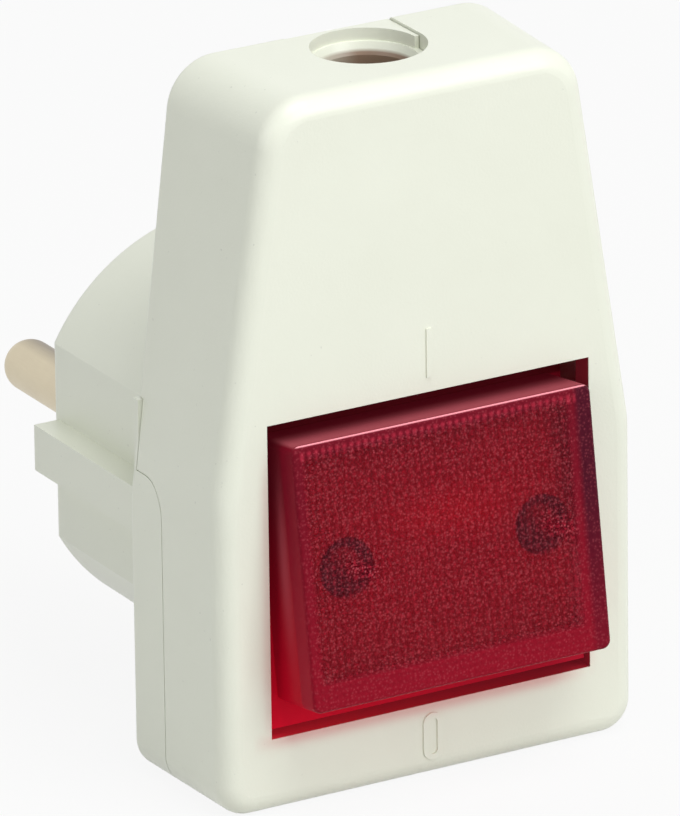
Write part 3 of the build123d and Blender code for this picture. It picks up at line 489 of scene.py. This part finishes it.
def bore_shadow(tree, x, z):
    """Painted shadow on the lower left half of the bottoms of the two post bores."""
    across, rise = from_bore(tree, x, z, 0.0, 0.0)
    slant = sum_of(tree, across, -0.7, rise, -0.7)
    return all_of(
        tree,
        within(tree, across, 0.0, BORE_HALF, 0.3),
        within(tree, rise, 0.0, BORE_HALF, 0.3),
        above(tree, slant, 0.0, 0.8),
    )


def bore_gap(tree, x, z):
    """Painted light that crosses each dark bore towards its lower right."""
    across, rise = from_bore(tree, x, z, -0.73, 0.56)
    along = sum_of(tree, across, 0.9, rise, -0.43)
    off = sum_of(tree, across, 0.43, rise, 0.9)
    return all_of(tree, within(tree, along, 1.6, 1.5, 0.7), hump(tree, off, 0.1, 0.8))


def lens_dots(tree, x, z):
    """Dots in a square grid, and the columns that they stand in."""
    turns = 2 * math.pi / DOT_STEP
    columns = times_plus(tree, calc(tree, "COSINE", times(tree, x, turns)), 0.5, 0.5)
    rows = times_plus(tree, calc(tree, "COSINE", times(tree, z, turns)), 0.4, 0.6)
    return all_of(tree, columns, rows), columns


def lens_hollow(tree, x, y, z, low, dots, tone):
    """Colour of the frosted hollow behind the plate: a painted glow, walls in painted shade high up
    and painted light low down, bores in painted shadow.
    """
    upper_band = all_of(tree, hump(tree, x, 1.0, 6.5), hump(tree, z, 3.0, 2.2))
    right_band = all_of(tree, hump(tree, x, 12.4, 1.3), hump(tree, z, -4.5, 5.0))
    glow = calc(tree, "ADD", upper_band, right_band)
    light = times_plus(tree, glow, 0.48, times(tree, dots, 0.1))
    light = times_plus(tree, tone, 0.25, light, clamp=True)
    frost = shade(tree, light, FROST_DIM, FROST_LIT)
    walls = shade(tree, low, HOLLOW_WALL_SHADE, HOLLOW_WALL_LIT)
    frost = shade(tree, above(tree, y, LENS_INSIDE_Y + 0.3, 0.1), frost, walls)
    deep = above(tree, y, LENS_INSIDE_Y + 0.6, 0.1)
    dark = all_of(tree, bore_shadow(tree, x, z), deep)
    return shade(tree, dark, frost, BORE_SHADOW_RED)


def lens_margin(tree, x, z, low, columns):
    """Colour of the plate's solid margins, in painted shade high up and up the right and painted light
    low down, with ticks below the upper edge.
    """
    margin = shade(tree, low, MARGIN_SHADE, MARGIN_LIT)
    right = all_of(tree, above(tree, x, MARGIN_X, 0.3), above(tree, z, -9.0, 12.0))
    margin = shade(tree, right, margin, MARGIN_RIGHT_SHADE)
    ticks = all_of(
        tree,
        columns,
        within(tree, z, TICK_Z, TICK_HALF, 0.15),
        within(tree, x, -0.5, 13.8, 0.15),
        within(tree, z, 0.3, 11.1, 0.15),
        0.8,
    )
    return shade(tree, ticks, margin, TICK_RED)


def lens_plate(tree, place, x, z, see_in, dots, height, margin):
    """Colour of the plate's skin: dots, flecks and a painted glow at the right, margins and painted
    glints.
    """
    right_glow = all_of(tree, hump(tree, x, 12.2, 0.9), hump(tree, z, -6.0, 4.5))
    bright = times_plus(tree, right_glow, 0.35, times(tree, dots, 0.45))
    fleck = times_plus(tree, height, 2.2, -1.1)
    bright = calc(tree, "ADD", bright, fleck, clamp=True)
    skin = shade(tree, bright, PLATE_DARK, PLATE_BRIGHT)
    skin = shade(tree, see_in, margin, skin)
    # Painted glints: pale spots that stand in for glints of light on the etched front
    points = put(tree, "ShaderNodeTexVoronoi", {"Vector": place, "Scale": 1 / GLINT_STEP})
    painted_glints = ramp(tree, points.outputs["Distance"], 0.45, 0.15)
    painted_glints = times(tree, painted_glints, shade_value(tree, see_in, 0.18, 0.58))
    return shade(tree, painted_glints, skin, GLINT_PINK)


def lens_sides(tree, x, y, z, low, skirt, margin):
    """Colour of the button's sides, in painted shade high up and painted light low down with a painted
    sheen, and of the skirt, brighter low on the left with painted light.
    """
    sides = shade(tree, low, SIDE_SHADE, SIDE_LIT)
    sheen = all_of(tree, hump(tree, y, LENS_FRONT_Y + 3.3, 1.0), hump(tree, z, 2.0, 8.0), 0.6)
    sides = shade(tree, sheen, sides, SHEEN_PINK)
    sides = shade(tree, below(tree, y, LENS_INSIDE_Y, 0.15), sides, margin)
    low_left = calc(tree, "MULTIPLY", low, times_plus(tree, x, -0.025, 0.4), clamp=True)
    skirt_tone = shade(tree, low_left, SKIRT_DIM, SKIRT_LIT)
    return shade(tree, skirt, sides, skirt_tone)


def red_lens():
    """Deep red clear shell under a thin skin, over a frosted hollow in which the bores are dark, with
    painted light and shade on skin and hollow.
    """
    material, tree, place, shader = new_material("red_lens")
    x, y, z = own_frame(tree, place)
    grain = use_group(
        tree, MOULDED_GRAIN, {"Place": place, "Grain size": 0.16, "Mottle size": 5.0}
    )
    dots, columns = lens_dots(tree, x, z)
    # 0 high up and 1 low down: the lens is painted lighter low down, where more light comes through,
    #                           and in shade high up
    low = ramp(tree, z, 8.0, -12.0)

    # Parts of the rocker
    inside = inside_of_rocker(tree, x, y, z)
    front = below(tree, y, LENS_FRONT_Y + 0.25, 0.15)
    see_in = all_of(
        tree, within(tree, x, -0.75, 13.1, 0.35), within(tree, z, 0.75, 10.0, 0.35)
    )
    skirt = above(tree, y, SHOULDER_Y - 0.15, 0.1)
    upper = above(tree, z, LENS_EDGE_Z - 0.15, 0.1)
    top_wall = all_of(
        tree, upper, above(tree, y, LENS_FRONT_Y + 0.3, 0.1), opposite(tree, skirt)
    )
    lit_top_front = below(tree, y, LENS_FRONT_Y + 2.9, 1.7)
    shoulder_top = all_of(tree, upper, skirt)
    # Painted highlight along the button's top front edge
    rim_highlight = all_of(
        tree,
        above(tree, z, LENS_EDGE_Z - 0.14, 0.04),
        below(tree, y, LENS_FRONT_Y + 0.2, 0.04),
        within(tree, x, 0.0, LENS_EDGE_X - 0.3, 0.1),
    )

    # Colour of the skin and of the hollow, with painted light and shade
    margin = lens_margin(tree, x, z, low, columns)
    plate = lens_plate(tree, place, x, z, see_in, dots, grain["Height"], margin)
    skin = shade(tree, front, lens_sides(tree, x, y, z, low, skirt, margin), plate)
    # Top wall: painted pink light and sheen near the front, painted shade of the opening's upper edge
    # further back
    wall = shade(tree, lit_top_front, TOP_WALL_SHADE, TOP_WALL_LIT_SHEEN)
    skin = shade(tree, top_wall, skin, wall)
    # Painted shade on top of the shoulder, under the opening's upper edge
    skin = shade(tree, shoulder_top, skin, SHOULDER_SHADE)
    skin = shade(tree, rim_highlight, skin, RIM_HIGHLIGHT_PINK)
    frost = lens_hollow(tree, x, y, z, low, dots, grain["Tone"])

    # Painted glow, given by emission, for light that comes through the sides
    outside = opposite(tree, largest(tree, front, inside))
    through = shade(tree, low, THROUGH_HIGH, THROUGH_LOW)
    through = shade(tree, outside, BLACK, through)
    wall = shade(tree, lit_top_front, THROUGH_WALL_BACK, THROUGH_WALL_FRONT)
    through = shade(tree, top_wall, through, wall)
    through = shade(tree, shoulder_top, through, THROUGH_SHOULDER)

    painted = put(
        tree,
        "ShaderNodeBsdfPrincipled",
        {
            "Base Color": shade(tree, inside, skin, frost),
            "Roughness": SKIN_ROUGHNESS,
            "Specular IOR Level": SKIN_SHINE,
            "Specular Tint": LENS_SHINE,
            "Emission Color": through,
            "Emission Strength": 1.0,
        },
    )
    relief(tree, painted, all_of(tree, dots, front), 0.05)
    fill(
        tree,
        shader,
        {
            "Base Color": LENS_CLEAR,
            "Transmission Weight": 1.0,
            "IOR": LENS_IOR,
            "Specular Tint": LENS_SHINE,
            "Roughness": times_plus(tree, grain["Tone"], 0.08, LENS_ROUGHNESS),
        },
    )
    relief(tree, shader, grain["Height"], 0.004)

    # The shell lets the lamps' light in; the skin's share of what is seen is small where one sees in
    lit = put(tree, "ShaderNodeBsdfTransparent", {"Color": LENS_LET_THROUGH})
    shadow_ray = put(tree, "ShaderNodeLightPath").outputs["Is Shadow Ray"]
    shell = put(
        tree, "ShaderNodeMixShader", {0: shadow_ray, 1: shader.outputs[0], 2: lit.outputs[0]}
    )
    share = shade_value(tree, all_of(tree, front, see_in), SKIN_SHARE, SEE_IN_SHARE)
    gap = all_of(tree, bore_gap(tree, x, z), front)
    share = times_plus(tree, gap, GAP_SHARE, share, clamp=True)
    share = largest(tree, share, inside, rim_highlight)
    whole = put(
        tree, "ShaderNodeMixShader", {0: share, 1: shell.outputs[0], 2: painted.outputs[0]}
    )
    body = put(
        tree, "ShaderNodeVolumeAbsorption", {"Color": LENS_DEPTH, "Density": LENS_DENSITY}
    )
    end = find(tree, "OUTPUT_MATERIAL")
    fill(tree, end, {"Surface": whole.outputs[0], "Volume": body.outputs[0]})
    return material


def metal(name, bright, dull, gloss, stretch):
    """Drawn or rolled metal with scratches and dull patches."""
    material, tree, place, shader = new_material(name)
    marks = use_group(tree, DRAWN_METAL, {"Place": place, "Stretch": stretch})
    fill(
        tree,
        shader,
        {
            "Base Color": shade(tree, marks["Patches"], bright, dull),
            "Roughness": times_plus(tree, marks["Scratches"], 0.25, gloss - 0.12),
            "Metallic": 1.0,
        },
    )
    relief(tree, shader, marks["Scratches"], 0.02, 0.5)
    return material, tree, place, shader


def pin_metal():
    """Plated pin metal, worn pale, with painted shade on one side of its top."""
    material, tree, place, shader = metal(
        "nickel_pins", tint(0.66, 0.59, 0.44), tint(0.59, 0.52, 0.39), 0.42, (9.0, 0.6, 9.0)
    )
    x, _, z = apart(tree, place)
    across = calc(tree, "SUBTRACT", x, times(tree, calc(tree, "SIGN", x), PIN_X))
    # Painted shade along one side of the pin's top
    top_shade = all_of(
        tree, above(tree, z, 0.5 * PIN_R, 0.4), above(tree, across, -0.1 * PIN_R, 0.9), 0.7
    )
    recolour(tree, shader, top_shade, tint(0.17, 0.14, 0.12))
    return material


def lamp_glass():
    """Thin clear glass of the neon lamp, lightly smoked at its ends."""
    material, tree, place, shader = new_material("lamp_glass")
    ends = opposite(tree, within(tree, apart(tree, place)[0], 0.5, 4.6, 0.9))
    grain = use_group(tree, MOULDED_GRAIN, {"Place": place, "Grain size": 0.6})
    fill(
        tree,
        shader,
        {
            "Base Color": shade(tree, ends, tint(0.97, 0.95, 0.92), tint(0.62, 0.55, 0.48)),
            "Roughness": times_plus(tree, grain["Tone"], 0.08, 0.01),
            "Transmission Weight": 1.0,
            "IOR": GLASS_IOR,
        },
    )
    return material


def resistor_lacquer():
    """Tan lacquer with colour bands round the body."""
    material, tree, place, shader = moulded_plastic(
        "resistor_lacquer", tint(0.66, 0.50, 0.30), tint(0.58, 0.43, 0.25), 0.3, 0.1
    )
    x = apart(tree, place)[0]
    bands = (
        (-2.1, tint(0.20, 0.07, 0.03)),
        (-1.1, tint(0.02, 0.02, 0.02)),
        (-0.1, tint(0.80, 0.55, 0.05)),
        (1.6, tint(0.55, 0.40, 0.12)),
    )
    for middle, paint in bands:
        recolour(tree, shader, within(tree, x, middle, BAND_HALF), paint)
    return material


def dress(nodes):
    """Gives each CAD node its finish."""
    white = white_moulding("white_moulding")
    base = moulded_plastic(
        "base_moulding", tint(0.70, 0.67, 0.58), tint(0.62, 0.60, 0.52), 0.55, 0.35
    )[0]
    brass = metal(
        "rolled_brass", tint(0.78, 0.60, 0.30), tint(0.62, 0.44, 0.20), 0.36, (8.0, 8.0, 0.7)
    )[0]
    silver = metal(
        "contact_silver", tint(0.86, 0.86, 0.84), tint(0.70, 0.69, 0.66), 0.42, (5.0, 5.0, 5.0)
    )[0]
    steel = metal(
        "plated_steel", tint(0.66, 0.67, 0.68), tint(0.50, 0.50, 0.51), 0.36, (5.0, 1.2, 5.0)
    )[0]
    wire = metal(
        "tinned_wire", tint(0.74, 0.73, 0.70), tint(0.60, 0.59, 0.56), 0.4, (1.0, 7.0, 7.0)
    )[0]
    finishes = {
        "front_cover": white,
        "rear_housing": white,
        "rocker": red_lens(),
        "switch_base": base,
        "cord_clamp": base,
        "neon_lamp": lamp_glass(),
        "series_resistor": resistor_lacquer(),
        "lamp_leads": wire,
        "earth_strap": brass,
        "earth_link": brass,
        "earth_terminal_block": brass,
    }
    endings = {
        "plunger": base,
        "seesaw_contact": brass,
        "moving_contact": silver,
        "fixed_contact_tip": silver,
        "fixed_contact_strip": brass,
        "seesaw_support": brass,
        "pin": pin_metal(),
        "terminal_block": brass,
    }
    for side in ("left", "right"):
        finishes.update({f"{side}_{ending}": finish for ending, finish in endings.items()})

    # Screws and springs are steel
    for name, node in nodes.items():
        node.data.materials.clear()
        node.data.materials.append(finishes.get(name, steel))


def stand_camera():
    """Camera where the photograph was taken from."""
    turn = math.radians(CAMERA_TURN)
    height = math.radians(CAMERA_HEIGHT)
    roll = math.radians(CAMERA_ROLL)
    level = Vector((math.sin(turn), math.cos(turn), 0.0))
    upright = Vector((0.0, 0.0, 1.0))
    right = Vector((math.cos(turn), -math.sin(turn), 0.0))
    ahead = level * math.cos(height) - upright * math.sin(height)
    up = level * math.sin(height) + upright * math.cos(height)
    side = right * math.cos(roll) + up * math.sin(roll)
    top = up * math.cos(roll) - right * math.sin(roll)
    aim = Vector((0.0, CAMERA_AIM_Y, 0.0))
    place = (aim + side * CAMERA_ACROSS + top * CAMERA_UP - ahead * CAMERA_DISTANCE) * MM
    camera = bpy.data.objects.new("camera", bpy.data.cameras.new("camera"))
    bpy.context.scene.collection.objects.link(camera)
    axes = Matrix((side, top, -ahead)).transposed()
    camera.matrix_world = Matrix.Translation(place) @ axes.to_4x4()
    camera.data.lens = CAMERA_LENS
    camera.data.clip_start = CAMERA_NEAR
    camera.data.clip_end = CAMERA_FAR
    bpy.context.scene.camera = camera


def softbox(name, place, power):
    """Square lamp that faces the plug."""
    lamp = bpy.data.lights.new(name, "AREA")
    lamp.size = LAMP_SIZE
    lamp.energy = power
    made = bpy.data.objects.new(name, lamp)
    bpy.context.scene.collection.objects.link(made)
    made.location = place
    made.rotation_euler = (Vector(LAMP_AIM) - Vector(place)).to_track_quat("-Z", "Y").to_euler()


def straight_to_eye(tree):
    """1 for a ray from the camera, or one that metal or glass sends on, 0 for any other light."""
    path = put(tree, "ShaderNodeLightPath").outputs
    rays = ("Is Camera Ray", "Is Glossy Ray", "Is Transmission Ray")
    return largest(tree, *(path[ray] for ray in rays))


def pale_floor():
    """Matt pale finish that is almost plain white to the eye."""
    material = bpy.data.materials.new("pale_floor")
    material.use_nodes = True
    tree = material.node_tree
    tree.nodes.clear()
    matt = put(tree, "ShaderNodeBsdfDiffuse", {"Color": FLOOR_PALE})
    bright = put(tree, "ShaderNodeEmission", {"Color": WHITE, "Strength": 1.0})
    share = times(tree, straight_to_eye(tree), FLOOR_WHITENESS)
    mixed = put(tree, "ShaderNodeMixShader", {0: share, 1: matt.outputs[0], 2: bright.outputs[0]})
    put(tree, "ShaderNodeOutputMaterial", {"Surface": mixed.outputs[0]})
    return material


def even_sky():
    """Soft light from all round, plain white to the eye."""
    world = bpy.data.worlds.new("even_sky")
    bpy.context.scene.world = world
    world.use_nodes = True
    sky = world.node_tree
    sky.nodes.clear()
    even = put(sky, "ShaderNodeBackground", {"Color": SKY_PALE, "Strength": SKY_LIGHT})
    white = put(sky, "ShaderNodeBackground", {"Color": WHITE, "Strength": 1.0})
    seen = straight_to_eye(sky)
    mixed = put(sky, "ShaderNodeMixShader", {0: seen, 1: even.outputs[0], 2: white.outputs[0]})
    put(sky, "ShaderNodeOutputWorld", {"Surface": mixed.outputs[0]})


def build_stage(lowest):
    """Square floor just below the plug, an even sky and three soft lamps."""
    corners = np.array([(-1, -1, 0), (1, -1, 0), (1, 1, 0), (-1, 1, 0)]) * FLOOR_REACH
    corners = corners + (0.0, 0.0, lowest - FLOOR_GAP)
    mesh = bpy.data.meshes.new("floor")
    mesh.from_pydata(corners.tolist(), [], [(0, 1, 2, 3)])
    floor = bpy.data.objects.new("floor", mesh)
    bpy.context.scene.collection.objects.link(floor)
    floor.data.materials.append(pale_floor())
    even_sky()
    for name, place, power in LAMPS:
        softbox(name, place, power)


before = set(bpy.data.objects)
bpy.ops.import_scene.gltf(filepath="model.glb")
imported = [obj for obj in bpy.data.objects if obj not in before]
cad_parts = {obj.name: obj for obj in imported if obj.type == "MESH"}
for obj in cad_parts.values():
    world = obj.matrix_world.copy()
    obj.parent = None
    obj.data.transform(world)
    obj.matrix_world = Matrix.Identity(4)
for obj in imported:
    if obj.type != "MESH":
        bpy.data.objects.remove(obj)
cad_low, cad_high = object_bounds()
dress(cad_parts)
build_stage(cad_low.z)
stand_camera()
bpy.context.scene.view_settings.view_transform = "Standard"
